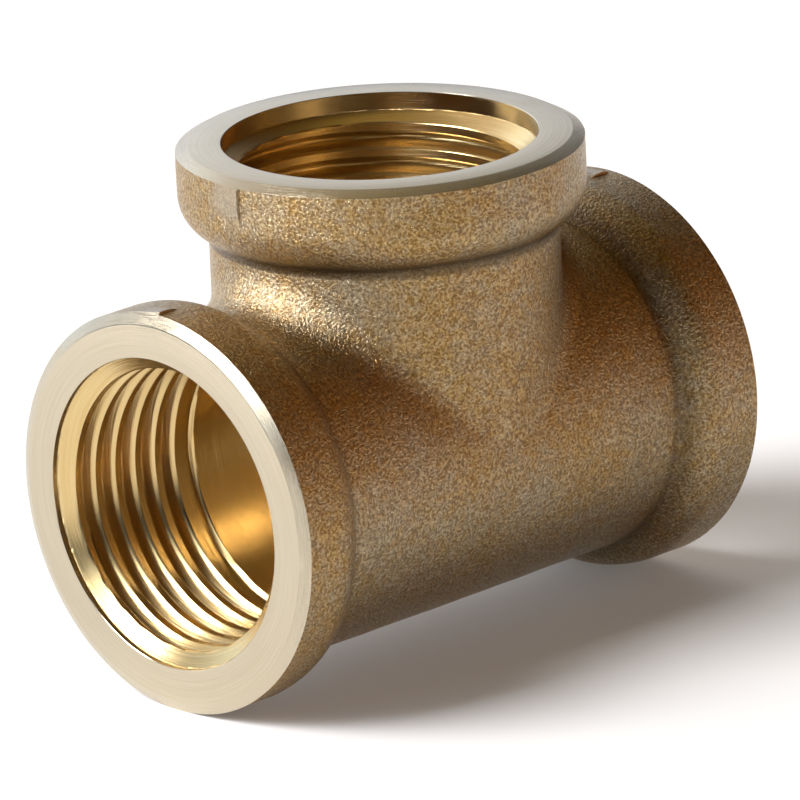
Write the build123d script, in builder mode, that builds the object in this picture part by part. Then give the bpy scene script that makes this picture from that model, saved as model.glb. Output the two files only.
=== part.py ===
from build123d import *
import os
from math import acos, atan2, ceil, cos, degrees, radians, sin, tan

# Lengths are in millimetres. The run lies along X and the branch rises along +Z. The tee
# stands on its two run collars at Z = 0, midway between the run faces.

# Whole fitting
COLLAR_RADIUS = 13.7
COLLAR_BAND = 3.2  # straight part of a collar, measured from its face
SHOULDER_RADIUS = 2.9
RUN_BARREL_RADIUS = 11.86
BRANCH_NECK_RADIUS = 11.75
RUN_HALF_LENGTH = 21.5
BRANCH_LENGTH = 21.0  # from the run axis to the branch face
ROOT_FILLET = 0.8  # where a shoulder meets its barrel
SADDLE_FILLET = 2.6  # where the neck meets the run barrel

# Machined ends
FACE_OUTER_RADIUS = 12.9
BEVEL_DEPTH = 0.42
COUNTERBORE_RADIUS = 10.62
RUN_COUNTERBORE_DEPTH = 0.4
BRANCH_COUNTERBORE_DEPTH = 1.2
LEAD_IN_DEPTH = 0.6  # the cone between the counterbore and the first thread crest

# G1/2 internal thread, parallel, 55 degree form
PITCH = 1.814
MAJOR_RADIUS = 20.955 / 2
PITCH_RADIUS = 19.793 / 2
MINOR_RADIUS = 19.17 / 2
FLANK_ANGLE = 27.5
RUN_THREAD_DEPTH = 12.0
BRANCH_THREAD_DEPTH = 11.0
RUN_THREAD_START = 0.26  # turns from the face to the groove's middle, on the +Y side
BRANCH_THREAD_START = 0.8  # turns from the face to the groove's middle, on the +X side
GROOVE_OVERRUN = 0.3  # how far the groove's section reaches into the open bore
GROOVE_LEAD_TURNS = 1  # turns of the cutter's path in front of the face
GROOVE_STRETCH = 2.2  # most turns cut in one stretch
RUN_OUT_TURNS = 0.6  # over which the groove fades into the plain bore

# Plain bores behind the threads
RUN_BORE_RADIUS = 9.8
BRANCH_BORE_RADIUS = 9.76

# Ledge on each collar where the two halves of the casting's mould met, near Y = 0
LEDGE_HEIGHT = 0.2
LEDGE_LENGTH = 2.6  # along the collar, from the bevel
LEDGE_ROOT = 0.5  # how far the ledge is sunk into the collar to join it
LEDGE_ANGLE = 2.3  # round the collar from the plane of the axes, towards -Y

AXIS_HEIGHT = COLLAR_RADIUS
BRANCH_FACE_HEIGHT = AXIS_HEIGHT + BRANCH_LENGTH
run_axis = Axis((0, 0, AXIS_HEIGHT), (1, 0, 0))


def end_profile(half_length, barrel_radius):
    """Outer outline of one end: X is the distance from the middle and Y is the radius."""
    band_end = half_length - COLLAR_BAND
    shoulder_centre = COLLAR_RADIUS - SHOULDER_RADIUS
    rise = barrel_radius - shoulder_centre
    shoulder_end = band_end - (SHOULDER_RADIUS**2 - rise**2) ** 0.5
    with BuildSketch() as outline:
        with BuildLine():
            Polyline(
                (shoulder_end, barrel_radius),
                (0, barrel_radius),
                (0, 0),
                (half_length, 0),
                (half_length, FACE_OUTER_RADIUS),
                (half_length - BEVEL_DEPTH, COLLAR_RADIUS),
                (band_end, COLLAR_RADIUS),
            )
            RadiusArc(
                (band_end, COLLAR_RADIUS),
                (shoulder_end, barrel_radius),
                -SHOULDER_RADIUS,
            )
        make_face()
        corner = outline.vertices().sort_by_distance((shoulder_end, barrel_radius))[0]
        fillet(corner, ROOT_FILLET)
    return outline.sketch


def run_outside():
    """The run barrel with a collar at each end, still solid."""
    section = Plane(origin=(0, 0, AXIS_HEIGHT), x_dir=(1, 0, 0), z_dir=(0, -1, 0))
    with BuildPart() as run:
        with BuildSketch(section):
            add(end_profile(RUN_HALF_LENGTH, RUN_BARREL_RADIUS))
            mirror(about=Plane.YZ)
        revolve(axis=run_axis)
    return run.part


def branch_outside():
    """The branch neck with its collar, still solid, from the run axis up."""
    section = Plane(origin=(0, 0, AXIS_HEIGHT), x_dir=(0, 0, 1), z_dir=(0, 1, 0))
    with BuildPart() as neck:
        with BuildSketch(section):
            add(end_profile(BRANCH_LENGTH, BRANCH_NECK_RADIUS))
        revolve(axis=Axis.Z)
    return neck.part


def socket_void(half_length, bore_radius, counterbore_depth, thread_depth):
    """What the lathe removes from one end: its axis is Z and its face is at half_length."""
    lead_in_end = counterbore_depth + LEAD_IN_DEPTH
    with BuildPart() as void:
        with BuildSketch(Plane.XZ):
            with BuildLine():
                Polyline(
                    (0, 0),
                    (bore_radius, 0),
                    (bore_radius, half_length - thread_depth),
                    (MINOR_RADIUS, half_length - thread_depth),
                    (MINOR_RADIUS, half_length - lead_in_end),
                    (COUNTERBORE_RADIUS, half_length - counterbore_depth),
                    (COUNTERBORE_RADIUS, half_length),
                    (0, half_length),
                    close=True,
                )
            make_face()
        revolve(axis=Axis.Z)
    return void.part


def groove_stretch(start_height, turns, deep_radius, outer_radius):
    """One stretch of the groove, climbing from start_height round the Z axis."""
    flank_slope = tan(radians(FLANK_ANGLE))
    floor_half = PITCH / 4 - (MAJOR_RADIUS - PITCH_RADIUS) * flank_slope
    open_depth = MAJOR_RADIUS - MINOR_RADIUS + GROOVE_OVERRUN
    mouth_half = floor_half + open_depth * flank_slope
    cone = degrees(atan2(outer_radius - deep_radius, turns * PITCH))
    path = Helix(PITCH, turns * PITCH, deep_radius, (0, 0, start_height), cone_angle=cone)
    start = Plane(origin=path @ 0, x_dir=(1, 0, 0), z_dir=path % 0)
    with BuildPart() as stretch:
        with BuildSketch(start):
            with BuildLine():
                Polyline(
                    (0, floor_half),
                    (0, -floor_half),
                    (-open_depth, -mouth_half),
                    (-open_depth, mouth_half),
                    close=True,
                )
            make_face()
        sweep(path=path, is_frenet=True)
    return stretch.part


def groove_stretches(half_length, thread_depth, start_turns):
    """The whole groove of one socket: a fading run-out, then stretches up past the face."""
    deepest = thread_depth / PITCH - 0.5
    full_turns = deepest + GROOVE_LEAD_TURNS
    count = ceil(full_turns / GROOVE_STRETCH)
    turns = full_turns / count
    bottom = half_length - deepest * PITCH
    # Turning the groove about its axis sets where it crosses the reference direction.
    turned = 360 * ((start_turns - deepest) % 1)
    pieces = []
    fade_start = bottom - RUN_OUT_TURNS * PITCH
    fade_turn = turned - 360 * RUN_OUT_TURNS
    shallow_radius = MINOR_RADIUS - GROOVE_OVERRUN / 2
    fade = groove_stretch(fade_start, RUN_OUT_TURNS, shallow_radius, MAJOR_RADIUS)
    pieces.append(fade.rotate(Axis.Z, fade_turn))
    for i in range(count):
        stretch = groove_stretch(bottom + i * turns * PITCH, turns, MAJOR_RADIUS, MAJOR_RADIUS)
        pieces.append(stretch.rotate(Axis.Z, turned + 360 * i * turns))
    return pieces


def ledge(origin, along):
    """The proud edge of the mould line on one collar, extruded from origin along its axis."""
    crest = COLLAR_RADIUS + LEDGE_HEIGHT
    step_angle = -radians(LEDGE_ANGLE)
    touch_angle = step_angle + acos(COLLAR_RADIUS / crest)
    corners = []
    corners.append((crest * sin(step_angle), crest * cos(step_angle)))
    corners.append((COLLAR_RADIUS * sin(touch_angle), COLLAR_RADIUS * cos(touch_angle)))
    corners.append((crest * sin(step_angle), COLLAR_RADIUS - LEDGE_ROOT))
    with BuildPart() as edge:
        with BuildSketch(Plane(origin=origin, x_dir=(0, 1, 0), z_dir=along)):
            with BuildLine():
                Polyline(*corners, close=True)
            make_face()
        extrude(amount=LEDGE_LENGTH)
    return edge.part


def place(part, axis_direction, reference):
    """Stand a part made about the Z axis on one of the tee's axes, its X along reference."""
    frame = Plane(origin=(0, 0, AXIS_HEIGHT), x_dir=reference, z_dir=axis_direction)
    return frame.location * part


# Each end: its axis, the direction its thread start is measured from, and its own sizes
run_sizes = (RUN_HALF_LENGTH, RUN_BORE_RADIUS, RUN_COUNTERBORE_DEPTH, RUN_THREAD_DEPTH)
branch_sizes = (BRANCH_LENGTH, BRANCH_BORE_RADIUS, BRANCH_COUNTERBORE_DEPTH, BRANCH_THREAD_DEPTH)
ends = (
    ((-1, 0, 0), (0, 1, 0), run_sizes, RUN_THREAD_START),
    ((1, 0, 0), (0, -1, 0), run_sizes, RUN_THREAD_START),
    ((0, 0, 1), (1, 0, 0), branch_sizes, BRANCH_THREAD_START),
)
# Each ledge: where it starts, and the direction that turns its outline outwards
run_bevel_end = RUN_HALF_LENGTH - BEVEL_DEPTH
branch_bevel_end = BRANCH_FACE_HEIGHT - BEVEL_DEPTH
ledges = (
    ((-run_bevel_end, 0, AXIS_HEIGHT), (1, 0, 0)),
    ((run_bevel_end - LEDGE_LENGTH, 0, AXIS_HEIGHT), (1, 0, 0)),
    ((0, 0, branch_bevel_end - LEDGE_LENGTH), (0, 0, 1)),
    ((0, 0, branch_bevel_end), (0, 0, -1)),
)

with BuildPart() as tee_body:
    add(run_outside())
    add(branch_outside())
    saddle = tee_body.edges().filter_by(GeomType.BSPLINE)
    fillet(saddle, SADDLE_FILLET)
    for origin, along in ledges:
        add(ledge(origin, along))
    for axis_direction, reference, sizes, _ in ends:
        add(place(socket_void(*sizes), axis_direction, reference), mode=Mode.SUBTRACT)
    for axis_direction, reference, sizes, thread_start in ends:
        for stretch in groove_stretches(sizes[0], sizes[3], thread_start):
            add(place(stretch, axis_direction, reference), mode=Mode.SUBTRACT)

tee_body.part.label = "tee_body"
os.makedirs("parts", exist_ok=True)
export_step(tee_body.part, "parts/tee_body.step")
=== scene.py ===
from math import ceil, cos, pi, radians, sin, sqrt, tan

import bmesh
import bpy
import numpy as np
from mathutils import Matrix, Vector, noise


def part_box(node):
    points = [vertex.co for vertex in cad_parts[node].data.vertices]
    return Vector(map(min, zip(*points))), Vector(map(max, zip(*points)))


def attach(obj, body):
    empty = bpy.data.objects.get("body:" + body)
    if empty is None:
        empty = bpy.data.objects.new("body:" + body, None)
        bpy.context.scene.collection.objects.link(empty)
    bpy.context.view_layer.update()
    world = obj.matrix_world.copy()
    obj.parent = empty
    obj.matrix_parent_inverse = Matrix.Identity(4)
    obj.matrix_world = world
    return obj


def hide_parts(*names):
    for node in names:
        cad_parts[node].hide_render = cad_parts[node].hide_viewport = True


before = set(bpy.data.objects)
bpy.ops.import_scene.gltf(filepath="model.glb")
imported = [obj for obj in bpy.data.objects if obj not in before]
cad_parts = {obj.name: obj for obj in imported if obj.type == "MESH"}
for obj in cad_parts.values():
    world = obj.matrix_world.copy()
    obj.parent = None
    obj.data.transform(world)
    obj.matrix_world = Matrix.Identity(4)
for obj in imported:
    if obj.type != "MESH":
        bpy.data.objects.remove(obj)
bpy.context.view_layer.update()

# The mesh is worked out in millimetres about the point where the two axes cross: X along
# the run, Z along the branch. Depths are measured from each end's face.
MM = 0.001
low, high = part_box("tee_body")
COLLAR_RADIUS = (high.y - low.y) / 2 / MM
RUN_HALF_LENGTH = (high.x - low.x) / 2 / MM
AXIS_HEIGHT = COLLAR_RADIUS
BRANCH_LENGTH = high.z / MM - AXIS_HEIGHT

# Cast outside
COLLAR_BAND = 3.2  # straight part of a collar, measured from its face
SHOULDER_RADIUS = 2.9
RUN_BARREL_RADIUS = 11.86
BRANCH_NECK_RADIUS = 11.75
ROOT_FILLET = 0.8  # where a shoulder meets its leg
SADDLE_FILLET = 2.6  # where the neck meets the barrel
SEAM_RADIUS = 11.8  # where the three legs of the skin are joined, before blending
WAVES = ((0.045, 0.16), (0.02, 0.5), (0.012, 1.3))  # height of the unevenness, and its rate
CREASE_DEPTH = 6.1  # painted shade darkens the crease under each collar, this far from its face
CREASE_REACH = 0.75
# How strongly painted shade darkens the crease at each end
CREASE_SHADE = {"left": 0.3, "right": 0.7, "branch": 1.0}

# Mould-line steps, where the two halves of the mould met
LEDGE_HEIGHT = 0.2
LEDGE_FADE_OUT = 0.9  # over which a step dies away, towards the leg
LEDGE_FADE_IN = 0.5  # and towards the face, where it doesn't start at the bevel
STEP_GAP = radians(0.06)  # half the width of a step
PATCH_REACH = 1.5  # the trimmed patch beside a step, in sweeps of the proud part
PATCH_FADE = 0.7

# Machined ends
FACE_OUTER_RADIUS = 12.9
BEVEL_DEPTH = 0.42
BEVEL_SLOPE = BEVEL_DEPTH / (COLLAR_RADIUS - FACE_OUTER_RADIUS)
COUNTERBORE_RADIUS = 10.62
LEAD_IN_DEPTH = 0.6
BORE_RADIUS = 9.8
BORE_STEP = 0.12  # over which the last crest widens to the plain bore
EDGE_BREAK = 0.04

# G1/2 internal thread
PITCH = 1.814
MAJOR_RADIUS = 20.955 / 2
MINOR_RADIUS = 19.17 / 2
THREAD_HEIGHT = MAJOR_RADIUS - MINOR_RADIUS
FLANK_ANGLE = radians(27.5)
ROOT_ROUNDING = 0.1373 * PITCH
ROOT_HALF = ROOT_ROUNDING * cos(FLANK_ANGLE)  # half the width of the rounded root
RUN_OUT_TURNS = 1.4  # over which the tap's chamfer leaves the groove shallower
RUN_OUT_START = 1.2  # turns short of the thread's depth where that begins
FLARE_TURNS = (0.3, 0.7)  # from the counterbore: the groove takes shape between these

# Mesh
HALF_SEGMENTS = 80
SEGMENT_CLEARANCE = 0.3  # of a segment, kept free on both sides of a step
BAND_ROWS = 7
SHOULDER_ROWS = 13
ROOT_ROWS = 7
MIDDLE_ROWS = 30
BORE_ROWS = 9
SETTLE_PASSES = 15
FINE, COARSE = 0.06, 0.3  # spacing of the rows along the thread
FINE_ENTRY = 1.8  # fine rows behind the counterbore
FINE_EXIT = 0.3  # and from this far short of the thread's depth
TAIL = 0.7  # thread rows go on this far past the thread's depth
TAIL_ROOM = 0.06  # kept free before the bores meet
WELD_DECIMALS = 5
SHARP_ANGLE = radians(28)


class End:
    """One machined end and the leg of the tee behind it."""

    def __init__(self, name, half_length, leg_radius, counterbore, thread_depth, start, hand, zero):
        self.name = name
        self.half_length = half_length
        self.leg_radius = leg_radius
        self.counterbore = counterbore
        self.thread_depth = thread_depth
        self.start = start  # turns from the face to the groove at the angle zero
        self.hand = hand  # 1 where the groove goes deeper as the angle grows, otherwise -1
        self.zero = zero

    def point(self, depth, radius, angle):
        """Points at this depth and radius; the angle runs from +Y."""
        along = self.half_length - depth
        across = radius * np.cos(angle)
        up = radius * np.sin(angle)
        along, across, up = np.broadcast_arrays(along, across, up)
        if self.name == "left":
            return np.stack([-along, across, up], -1)
        if self.name == "right":
            return np.stack([along, across, up], -1)
        return np.stack([-up, across, along], -1)

    def seam(self, radius, angle):
        """Depth where this leg meets the others: the planes halfway between the axes."""
        rise = np.sin(angle)
        reach = np.abs(rise) if self.name == "branch" else np.maximum(rise, 0)
        return self.half_length - radius * reach


# Each end: its name, the length and radius of its leg, the depths of its counterbore and
# thread, and where and which way its thread starts
ENDS = (
    End("left", RUN_HALF_LENGTH, RUN_BARREL_RADIUS, 0.4, 12.0, 0.26, 1, 0),
    End("right", RUN_HALF_LENGTH, RUN_BARREL_RADIUS, 0.4, 12.0, 0.26, -1, pi),
    End("branch", BRANCH_LENGTH, BRANCH_NECK_RADIUS, 1.2, 11.0, 0.8, -1, 1.5 * pi),
)

# Each step: its end, its angle, which way the proud side lies, and the depths between which
# it shows
LEDGES = (
    ("left", radians(91.3), -1, 0.0, 2.2),
    ("right", radians(93.5), -1, 0.8, 2.6),
    ("branch", radians(92.5), -1, 0.0, 2.9),
    ("branch", radians(267.5), 1, 0.0, 2.9),
)


def ring_angles():
    """Angles round every leg, the same list mirrored so that the legs meet point to point."""
    upper = np.linspace(0, pi, HALF_SEGMENTS + 1)
    steps = sorted(set(round(min(a, 2 * pi - a), 6) for _, a, _, _, _ in LEDGES))
    pairs = np.array([a + side * STEP_GAP for a in steps for side in (-1, 1)])
    nearest = np.abs(upper[:, None] - pairs[None]).min(1)
    clear = nearest > SEGMENT_CLEARANCE * pi / HALF_SEGMENTS
    upper = np.sort(np.concatenate([upper[clear], pairs]))
    lower = 2 * pi - upper[1:-1][::-1]
    return np.concatenate([upper, lower])


ANGLES = ring_angles()
CLOSED_ANGLES = np.append(ANGLES, 2 * pi)
ROUND = np.ones(len(ANGLES))  # the same value at every angle


def smooth(x):
    """Eases from 0 to 1 as x does."""
    x = np.clip(x, 0, 1)
    return x * x * (3 - 2 * x)


def ledge_rise(end, depth):
    """How far the proud half of the casting stands out, and the mask of the trimmed patch."""
    rise = np.zeros(depth.shape)
    mask = np.zeros(depth.shape)
    sweep = np.arccos(COLLAR_RADIUS / (COLLAR_RADIUS + LEDGE_HEIGHT))
    for name, step, side, first, last in LEDGES:
        if name != end.name:
            continue
        back = (ANGLES - step) * side
        starts = smooth((depth - first) / LEDGE_FADE_IN + (first == 0))
        shown = smooth((last - depth) / LEDGE_FADE_OUT) * starts
        proud = COLLAR_RADIUS / np.cos(sweep - np.clip(back, 0, sweep)) - COLLAR_RADIUS
        rise += np.where(back > 0, proud, 0) * shown
        patch = smooth((PATCH_REACH * sweep - back) / (PATCH_FADE * sweep))
        mask = np.maximum(mask, np.where(back > 0, patch, 0) * shown)
    return rise, mask


def unevenness(points):
    """Slow waviness of the cast skin, in millimetres."""
    out = np.empty(len(points))
    for i, p in enumerate(points):
        v = Vector(p)
        out[i] = sum(height * noise.noise(v * rate) for height, rate in WAVES)
    return out


def saddle_field(p):
    """Zero on the barrel and the neck with a rolling-ball fillet between them."""
    x, y, z = p[:, 0], p[:, 1], p[:, 2]
    about_run = np.hypot(y, z)
    about_branch = np.hypot(x, y)
    far = 99  # the neck stands only above the run axis
    a = about_run - RUN_BARREL_RADIUS - SADDLE_FILLET
    b = np.where(z > 0, about_branch - BRANCH_NECK_RADIUS - SADDLE_FILLET, far)
    c = np.minimum(y * y / (about_run * about_branch), 0.9999)
    ball = np.sqrt(np.maximum(a * a + b * b - 2 * a * b * c, 0) / (1 - c * c))
    rolling = (a < b * c) & (b < a * c)
    return np.where(rolling, SADDLE_FILLET - ball, np.minimum(a, b) + SADDLE_FILLET)


def slope(p):
    """Gradient of the saddle field."""
    h = 1e-4
    steps = np.eye(3) * h
    return np.stack([(saddle_field(p + s) - saddle_field(p - s)) / (2 * h) for s in steps], -1)


def settle(p):
    """Moves points onto the blended skin."""
    for _ in range(SETTLE_PASSES):
        g = slope(p)
        p = p - (saddle_field(p) / (g * g).sum(1))[:, None] * g
    return p


def collar_profile(leg_radius):
    """(depth, radius) from the bevel to where the leg is plain."""
    band_depths = np.linspace(BEVEL_DEPTH, COLLAR_BAND, BAND_ROWS + 1)[:-1]
    band = [(d, COLLAR_RADIUS) for d in band_depths]
    centre = COLLAR_RADIUS - SHOULDER_RADIUS
    rise = leg_radius + ROOT_FILLET - centre
    reach = SHOULDER_RADIUS + ROOT_FILLET
    root_depth = COLLAR_BAND + sqrt(reach**2 - rise**2)
    turn = np.arctan2(rise, root_depth - COLLAR_BAND)
    shoulder = []
    for a in np.linspace(pi / 2, turn, SHOULDER_ROWS):
        shoulder.append((COLLAR_BAND + SHOULDER_RADIUS * cos(a), centre + SHOULDER_RADIUS * sin(a)))
    root = []
    for a in np.linspace(turn + pi, 1.5 * pi, ROOT_ROWS)[1:]:
        root.append((root_depth + ROOT_FILLET * cos(a), leg_radius + ROOT_FILLET * (1 + sin(a))))
    return np.array(band + shoulder + root)


def skin_rows(end):
    """Rows of points on the cast outside, from the bevel to the seam, with the trimmed
    patch's mask and the painted shade under the collar at each."""
    profile = collar_profile(end.leg_radius)
    depth = profile[:, :1] * ROUND
    radius = profile[:, 1:] * ROUND
    rise, mask = ledge_rise(end, depth)
    flat = end.point(depth, radius, ANGLES)
    wave = unevenness(flat.reshape(-1, 3)).reshape(depth.shape)
    radius = radius + rise + wave
    # The first row follows the bevel's cone out to wherever the skin stands.
    depth[0] = (radius[0] - FACE_OUTER_RADIUS) * BEVEL_SLOPE
    collar = end.point(depth, radius, ANGLES)
    last = depth[-1]
    portion = np.linspace(0, 1, MIDDLE_ROWS + 1)[1:, None]
    depth = last + (end.seam(SEAM_RADIUS, ANGLES) - last) * portion
    radius = end.leg_radius + (SEAM_RADIUS - end.leg_radius) * portion
    middle = settle(end.point(depth, radius, ANGLES).reshape(-1, 3))
    out = slope(middle)
    out /= np.linalg.norm(out, axis=1)[:, None]
    middle = middle + out * unevenness(middle)[:, None]
    middle = middle.reshape(MIDDLE_ROWS, len(ANGLES), 3)
    plain = np.zeros((MIDDLE_ROWS, len(ANGLES)))
    # Painted shade: the crease under the collar is darkened, more at some ends than at others
    near = np.exp(-(((profile[:, :1] - CREASE_DEPTH) / CREASE_REACH) ** 2))
    grime = CREASE_SHADE[end.name] * near * ROUND
    points = np.concatenate([collar, middle])
    return points, np.concatenate([mask, plain]), np.concatenate([grime, plain])


def groove_depth(offset):
    """Depth of the full thread groove below the crests, at this distance from its middle."""
    u = np.abs(offset)
    floor = THREAD_HEIGHT - ROOT_ROUNDING
    arc = floor + np.sqrt(np.maximum(ROOT_ROUNDING**2 - u * u, 0))
    flank = floor + ROOT_ROUNDING * sin(FLANK_ANGLE) - (u - ROOT_HALF) / tan(FLANK_ANGLE)
    return np.where(u < ROOT_HALF, arc, flank)


MOUTH_HALF = ROOT_HALF + float(groove_depth(ROOT_HALF)) * tan(FLANK_ANGLE)


def groove_place(end, depth, angle):
    """Distance from the nearest groove's middle, and that groove's turns from the face."""
    turns = end.start + end.hand * (angle - end.zero) / (2 * pi)
    nearest = np.round(depth / PITCH - turns) + turns
    return depth - nearest * PITCH, nearest


def socket_radius(end, depth, angle):
    """Radius of the machined hole at this depth and angle, behind the counterbore."""
    offset, turns = groove_place(end, depth, angle)
    late = (turns - end.thread_depth / PITCH + RUN_OUT_START) / RUN_OUT_TURNS
    groove = np.clip(groove_depth(offset), 0, THREAD_HEIGHT * (1 - np.clip(late, 0, 1)))
    cone_end = end.counterbore + LEAD_IN_DEPTH
    # The first turn opens straight out of the counterbore.
    crest = np.maximum(turns * PITCH + MOUTH_HALF, cone_end)
    fall = np.clip((crest - depth) / (crest - end.counterbore), 0, 1)
    flare = (COUNTERBORE_RADIUS - MINOR_RADIUS) * fall
    first, formed = FLARE_TURNS
    shaped = smooth((turns - end.counterbore / PITCH - first) / (formed - first))
    groove = MINOR_RADIUS + flare + (groove - flare) * shaped
    cone = MINOR_RADIUS + (COUNTERBORE_RADIUS - MINOR_RADIUS) * (cone_end - depth) / LEAD_IN_DEPTH
    widened = smooth((depth - end.thread_depth) / BORE_STEP)
    bore = MINOR_RADIUS + (BORE_RADIUS - MINOR_RADIUS) * widened
    return np.maximum(np.maximum(groove, cone), bore)


def thread_offsets(spacing):
    """Distances from a groove's middle of the rows in one turn."""
    mid_flank = (ROOT_HALF + MOUTH_HALF) / 2
    lip = (MOUTH_HALF - 0.02, MOUTH_HALF + 0.03)  # a row on each side of the crest's edge
    half = [0, 0.55 * ROOT_HALF, ROOT_HALF, mid_flank, *lip, PITCH / 2]
    rows = []
    for a, b in zip(half[:-1], half[1:]):
        rows += list(np.linspace(a, b, max(1, round((b - a) / spacing)) + 1)[:-1])
    return np.array([-r for r in rows[:0:-1]] + rows + [PITCH / 2])


def thread_rows(end, first, last, spacing):
    """Rows that follow the helix between two circles; outside them they close up."""
    lead = end.start * PITCH + end.hand * PITCH * (CLOSED_ANGLES - end.zero) / (2 * pi)
    spare = 3  # turns past both circles, so that the helix covers every angle between them
    rows = []
    for k in range(-spare, ceil(end.thread_depth / PITCH) + spare):
        for offset in thread_offsets(spacing):
            rows.append(k * PITCH + offset + lead)
    return np.clip(np.array(rows), first, last)


class Surface:
    """Collects grids of points with a finish and three measures for the materials.

    lay tells one turn of the cutter from the next on a machined surface, trim is the mask
    of the trimmed patches, and the third says how much painted shade darkens the creases.
    """

    MEASURES = ("lay", "trim", "grime")

    def __init__(self):
        self.points = []
        self.faces = []
        self.finish = []
        self.measures = {name: [] for name in self.MEASURES}
        self.count = 0

    def add(self, grid, finish, closed=True, **measures):
        """Adds rows of points as quads; a closed grid joins its last column to its first."""
        rows, columns = grid.shape[:2]
        index = np.arange(rows * columns).reshape(rows, columns) + self.count
        if closed:
            index = np.concatenate([index, index[:, :1]], 1)
        quads = np.stack([index[:-1, :-1], index[1:, :-1], index[1:, 1:], index[:-1, 1:]], -1)
        quads = quads.reshape(-1, 4)
        self.points.append(grid.reshape(-1, 3))
        self.faces.append(quads)
        self.finish.append(np.full(len(quads), finish))
        for name in self.MEASURES:
            values = np.broadcast_to(measures.get(name, 0), (rows, columns))
            self.measures[name].append(values.reshape(-1))
        self.count += rows * columns

    def mesh(self, name):
        """One mesh with its points welded. A welded point keeps its first grid's measures."""
        points = np.concatenate(self.points)
        _, first, place = np.unique(
            np.round(points, WELD_DECIMALS), axis=0, return_index=True, return_inverse=True
        )
        faces = place.reshape(-1)[np.concatenate(self.faces)]
        finish = np.concatenate(self.finish)
        kept = []
        kinds = []
        for face, kind in zip(faces.tolist(), finish.tolist()):
            corners = [v for i, v in enumerate(face) if v != face[i - 1]]
            if len(corners) > 2 and len(set(corners)) == len(corners):
                kept.append(corners)
                kinds.append(kind)
        points = points[first] + np.array([0, 0, AXIS_HEIGHT])
        mesh = bpy.data.meshes.new(name)
        mesh.from_pydata((points * MM).tolist(), [], kept)
        mesh.polygons.foreach_set("material_index", kinds)
        for label, values in self.measures.items():
            layer = mesh.attributes.new(label, "FLOAT", "POINT")
            layer.data.foreach_set("value", np.concatenate(values)[first].astype(np.float32))
        return mesh


CAST, FACE, THREAD = 0, 1, 2


def add_leg(surface, end):
    """One end and its leg, outside and inside, as far as the seams with the other legs."""
    skin, trim, grime = skin_rows(end)
    surface.add(skin, CAST, trim=trim, grime=grime)
    # Bevel, flat face and counterbore wall, each edge broken a little
    turned = (
        (EDGE_BREAK * BEVEL_SLOPE, FACE_OUTER_RADIUS + EDGE_BREAK),
        (0, FACE_OUTER_RADIUS - EDGE_BREAK),
        (0, COUNTERBORE_RADIUS + EDGE_BREAK),
        (EDGE_BREAK, COUNTERBORE_RADIUS),
        (end.counterbore, COUNTERBORE_RADIUS),
    )
    rows = [skin[0]]
    lays = [0 * ROUND]
    for depth, radius in turned:
        rows.append(end.point(depth, radius, ANGLES))
        lays.append((radius - depth) * ROUND)
    surface.add(np.array(rows), FACE, lay=np.array(lays))
    # Lead-in cone, thread and run-out
    room = end.seam(BORE_RADIUS, CLOSED_ANGLES) - TAIL_ROOM
    tail = np.minimum(end.thread_depth + TAIL, room)
    entry_end = end.counterbore + FINE_ENTRY
    exit_start = end.thread_depth - FINE_EXIT
    zones = (
        (end.counterbore, entry_end, FINE),
        (entry_end, exit_start, COARSE),
        (exit_start, tail, FINE),
    )
    for first, last, spacing in zones:
        depth = thread_rows(end, first, np.minimum(last, tail), spacing)
        radius = socket_radius(end, depth, CLOSED_ANGLES)
        radius = np.where(depth > tail - 1e-9, BORE_RADIUS, radius)
        grid = end.point(depth, radius, CLOSED_ANGLES)
        surface.add(grid, THREAD, closed=False, lay=depth)
    # Plain bore to the seam
    portion = np.linspace(0, 1, BORE_ROWS)[:, None]
    depth = tail[:-1] + (end.seam(BORE_RADIUS, ANGLES) - tail[:-1]) * portion
    surface.add(end.point(depth, BORE_RADIUS, ANGLES), THREAD, lay=depth)


def build_tee():
    """The whole tee as one closed mesh."""
    surface = Surface()
    for end in ENDS:
        add_leg(surface, end)
    mesh = surface.mesh("tee_body_casting")
    work = bmesh.new()
    work.from_mesh(mesh)
    bmesh.ops.recalc_face_normals(work, faces=work.faces)
    work.to_mesh(mesh)
    work.free()
    mesh.polygons.foreach_set("use_smooth", [True] * len(mesh.polygons))
    mesh.set_sharp_from_angle(angle=SHARP_ANGLE)
    tee = bpy.data.objects.new("tee_body_casting", mesh)
    bpy.context.scene.collection.objects.link(tee)
    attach(tee, "root")
    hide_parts("tee_body")
    return tee


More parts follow.
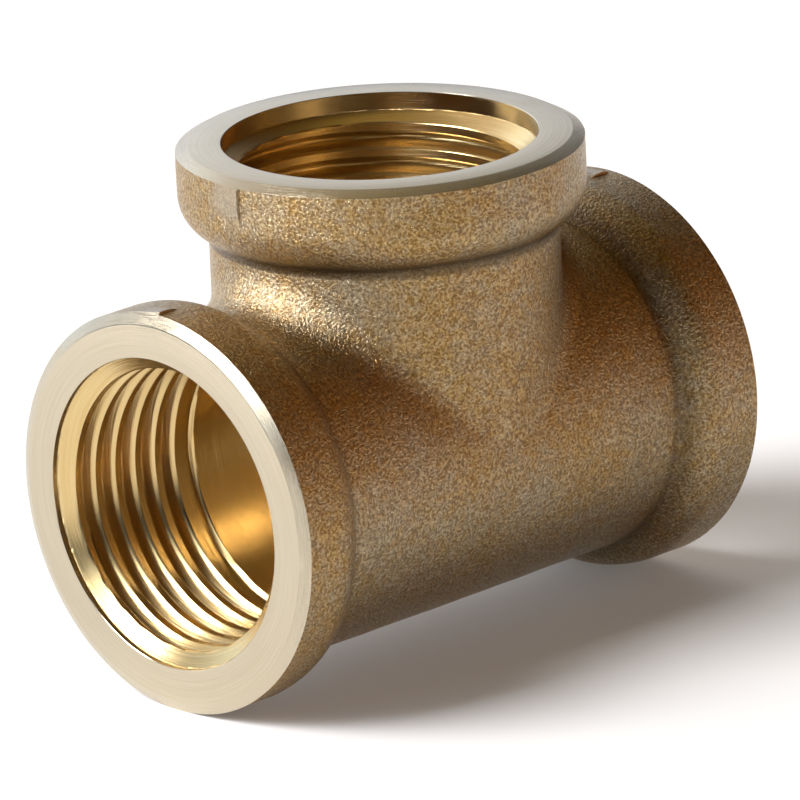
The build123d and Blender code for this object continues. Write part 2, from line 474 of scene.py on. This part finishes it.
class Graph:
    """Adds nodes to a tree; a socket given as a value is set, and one given as a node is linked."""

    def __init__(self, tree):
        self.tree = tree
        self.shader = tree.nodes.get("Principled BSDF")

    def put(self, socket, value):
        if isinstance(value, bpy.types.NodeSocket):
            self.tree.links.new(value, socket)
        else:
            socket.default_value = value

    def node(self, kind, output=0, inputs=(), **settings):
        node = self.tree.nodes.new("ShaderNode" + kind)
        for key, value in settings.items():
            setattr(node, key, value)
        for key, value in dict(inputs).items():
            self.put(node.inputs[key], value)
        return node.outputs[output]

    def set(self, **values):
        for key, value in values.items():
            self.put(self.shader.inputs[key.replace("_", " ")], value)

    def math(self, operation, a, b=0.0):
        return self.node("Math", inputs={0: a, 1: b}, operation=operation)

    def vector(self, operation, a, b, output=0):
        return self.node("VectorMath", output, {0: a, 1: b}, operation=operation)

    def place(self):
        return self.node("TexCoord", "Object")

    def attribute(self, name):
        return self.node("Attribute", "Fac", attribute_name=name)

    def noise(self, vector, scale, detail=2.0, roughness=0.5):
        inputs = {"Vector": vector, "Scale": scale, "Detail": detail, "Roughness": roughness}
        return self.node("TexNoise", "Fac", inputs)

    def ramp(self, value, low, low_colour, high, high_colour):
        """From one colour at low to the other at high."""
        node = self.tree.nodes.new("ShaderNodeValToRGB")
        stops = ((low, low_colour), (high, high_colour))
        for point, (place, colour) in zip(node.color_ramp.elements, stops):
            point.position = place
            point.color = (*colour, 1)
        self.put(node.inputs["Fac"], value)
        return node.outputs["Color"]

    def span(self, value, low, high, to_low=0.0, to_high=1.0):
        inputs = {"Value": value, 1: low, 2: high, 3: to_low, 4: to_high}
        return self.node("MapRange", 0, inputs)

    def blend(self, part, a, b):
        """Colour a, with this part of it replaced by colour b."""
        node = self.tree.nodes.new("ShaderNodeMix")
        node.data_type = "RGBA"
        for place, value in ((0, part), (6, a), (7, b)):
            self.put(node.inputs[place], value)
        return node.outputs[2]

    def bump(self, height, distance):
        return self.node("Bump", 0, {"Height": height, "Distance": distance})

    def cutter_marks(self, along, across):
        """Fine lines that follow the cutter: how fast they change along its path, per metre,
        and across it, per millimetre of lay."""
        around = self.vector("MULTIPLY", self.place(), (along, along, along))
        rings = self.math("MULTIPLY", self.attribute("lay"), across)
        rings = self.node("CombineXYZ", 0, {"X": rings})
        return self.noise(self.vector("ADD", around, rings), 1.0, 3.0, 0.6)


def new_material(name):
    """A new material and the graph that fills it."""
    material = bpy.data.materials.new(name)
    material.use_nodes = True
    return material, Graph(material.node_tree)


def cast_brass():
    """Blasted casting: hard grain with worn high spots, dull brown pits, painted shade in the
    creases.
    """
    material, g = new_material("cast_brass")
    place = g.place()
    trim = g.attribute("trim")
    grime = g.attribute("grime")
    grain = g.noise(place, 5000, 3.0, 0.62)
    fine = g.noise(place, 14000, 1.0)
    patch = g.noise(place, 140, 3.0, 0.6)
    tint = g.noise(place, 1500, 2.0, 0.6)
    height = g.math("ADD", grain, g.math("MULTIPLY", fine, 0.3))
    height = g.math("MULTIPLY", height, g.span(trim, 0, 1, 1, 0.35))
    worn = g.span(grain, 0.40, 0.62)
    hue = g.math("ADD", g.math("MULTIPLY", patch, 0.5), g.math("MULTIPLY", tint, 0.5))
    skin = g.ramp(hue, 0.38, (0.54, 0.370, 0.155), 0.62, (0.54, 0.445, 0.295))
    pits = g.ramp(hue, 0.38, (0.25, 0.140, 0.044), 0.62, (0.24, 0.178, 0.108))
    colour = g.blend(worn, pits, skin)
    colour = g.blend(g.math("MULTIPLY", trim, 0.6), colour, (0.40, 0.35, 0.28, 1))
    # Painted shade: a near-black brown laid into the creases under the collars
    colour = g.blend(g.math("MULTIPLY", grime, 0.8), colour, (0.09, 0.065, 0.04, 1))
    g.set(Base_Color=colour, Metallic=1.0)
    g.set(Roughness=g.span(worn, 0, 1, 0.36, 0.27))
    g.set(Normal=g.bump(height, 0.000105))
    return material


def turned_brass():
    """Faced and bevelled on a lathe: bright, with fine rings about the axis."""
    material, g = new_material("turned_brass")
    marks = g.cutter_marks(150, 9.0)
    cloud = g.noise(g.place(), 300, 2.0)
    colour = g.ramp(marks, 0.3, (0.51, 0.445, 0.325), 0.7, (0.57, 0.505, 0.385))
    g.set(Base_Color=colour, Metallic=1.0)
    g.set(Roughness=g.span(cloud, 0.3, 0.7, 0.14, 0.22))
    g.set(Normal=g.bump(marks, 0.000012))
    return material


def threaded_brass():
    """Bored and tapped: bright, with finer marks along the cut."""
    material, g = new_material("threaded_brass")
    marks = g.cutter_marks(120, 7.0)
    colour = g.ramp(marks, 0.3, (0.60, 0.425, 0.180), 0.7, (0.68, 0.520, 0.265))
    g.set(Base_Color=colour, Metallic=1.0, Roughness=0.25)
    g.set(Normal=g.bump(marks, 0.00002))
    return material


def make_floor():
    """A plain pale floor, with a faint glow of its own that keeps it near white."""
    mesh = bpy.data.meshes.new("studio_floor")
    s = 3.0  # half its width, in metres
    mesh.from_pydata([(-s, -s, 0), (s, -s, 0), (s, s, 0), (-s, s, 0)], [], [(0, 1, 2, 3)])
    floor = bpy.data.objects.new("studio_floor", mesh)
    bpy.context.scene.collection.objects.link(floor)
    material, g = new_material("pale_floor")
    g.set(Base_Color=(0.8, 0.8, 0.8, 1), Roughness=0.9)
    g.set(Emission_Color=(1, 1, 1, 1), Emission_Strength=0.1)
    mesh.materials.append(material)


def area_light(name, place, width, height, power, colour):
    """A soft light that faces the middle of the tee."""
    light = bpy.data.lights.new(name, "AREA")
    light.shape = "RECTANGLE"
    light.size = width
    light.size_y = height
    light.energy = power
    light.color = colour
    lamp = bpy.data.objects.new(name, light)
    lamp.location = place
    aim = Vector((0, 0, 0.02)) - Vector(place)
    lamp.rotation_euler = aim.to_track_quat("-Z", "Y").to_euler()
    bpy.context.scene.collection.objects.link(lamp)


CAMERA_PLACE = Vector((-0.42006, -0.43847, 0.20641))
CAMERA_FORWARD = Vector((0.66070, 0.68853, -0.29900))
CAMERA_UP = Vector((0.24201, 0.18168, 0.95311))
CAMERA_LENS = 425.93  # focal length in millimetres, for a sensor 36 mm wide


def make_camera():
    """A long lens from the front left, a little above the tee."""
    camera = bpy.data.cameras.new("camera")
    camera.sensor_width = 36
    camera.lens = CAMERA_LENS
    camera.clip_end = 20
    eye = bpy.data.objects.new("camera", camera)
    forward = CAMERA_FORWARD.normalized()
    right = forward.cross(CAMERA_UP).normalized()
    up = right.cross(forward)
    turn = Matrix((right, up, -forward)).transposed().to_4x4()
    eye.matrix_world = Matrix.Translation(CAMERA_PLACE) @ turn
    bpy.context.scene.collection.objects.link(eye)
    bpy.context.scene.camera = eye


# Light from the room: azimuth from +X towards +Y, elevation, how narrow, and colour
ROOM = (
    (90, 12, 9, (1.50, 1.80, 2.25)),
    (90, 40, 9, (0.62, 0.46, 0.30)),
    (52, 14, 12, (0.78, 0.80, 0.84)),
    (315, 10, 9, (0.80, 0.34, 0.06)),
    (60, 70, 12, (0.24, 0.19, 0.05)),
    (0, 90, 9, (0.10, 0.065, 0.025)),
)


def make_world():
    """A dim warm room, with a cool wide light low behind the tee."""
    world = bpy.data.worlds.new("studio")
    world.use_nodes = True
    g = Graph(world.node_tree)
    direction = g.node("TexCoord", "Generated")
    total = None
    for azimuth, elevation, narrow, colour in ROOM:
        turn, climb = radians(azimuth), radians(elevation)
        middle = (cos(climb) * cos(turn), cos(climb) * sin(turn), sin(climb))
        facing = g.vector("DOT_PRODUCT", direction, middle, "Value")
        glow = g.math("EXPONENT", g.math("MULTIPLY", g.math("SUBTRACT", facing, 1.0), narrow))
        light = g.node("VectorMath", 0, {0: colour, "Scale": glow}, operation="SCALE")
        total = light if total is None else g.vector("ADD", total, light)
    back = g.tree.nodes["Background"]
    g.put(back.inputs["Color"], total)
    back.inputs["Strength"].default_value = 1.0
    bpy.context.scene.world = world


tee = build_tee()
for make in (cast_brass, turned_brass, threaded_brass):
    tee.data.materials.append(make())
make_floor()
make_camera()
make_world()
area_light("window", (-0.88, 0.36, 0.84), 0.7, 0.6, 26, (1.0, 0.99, 1.0))
area_light("window_low", (-1.0, 0.25, 0.45), 0.7, 0.35, 3.5, (0.80, 0.88, 1.0))
bpy.context.scene.view_settings.view_transform = "Standard"
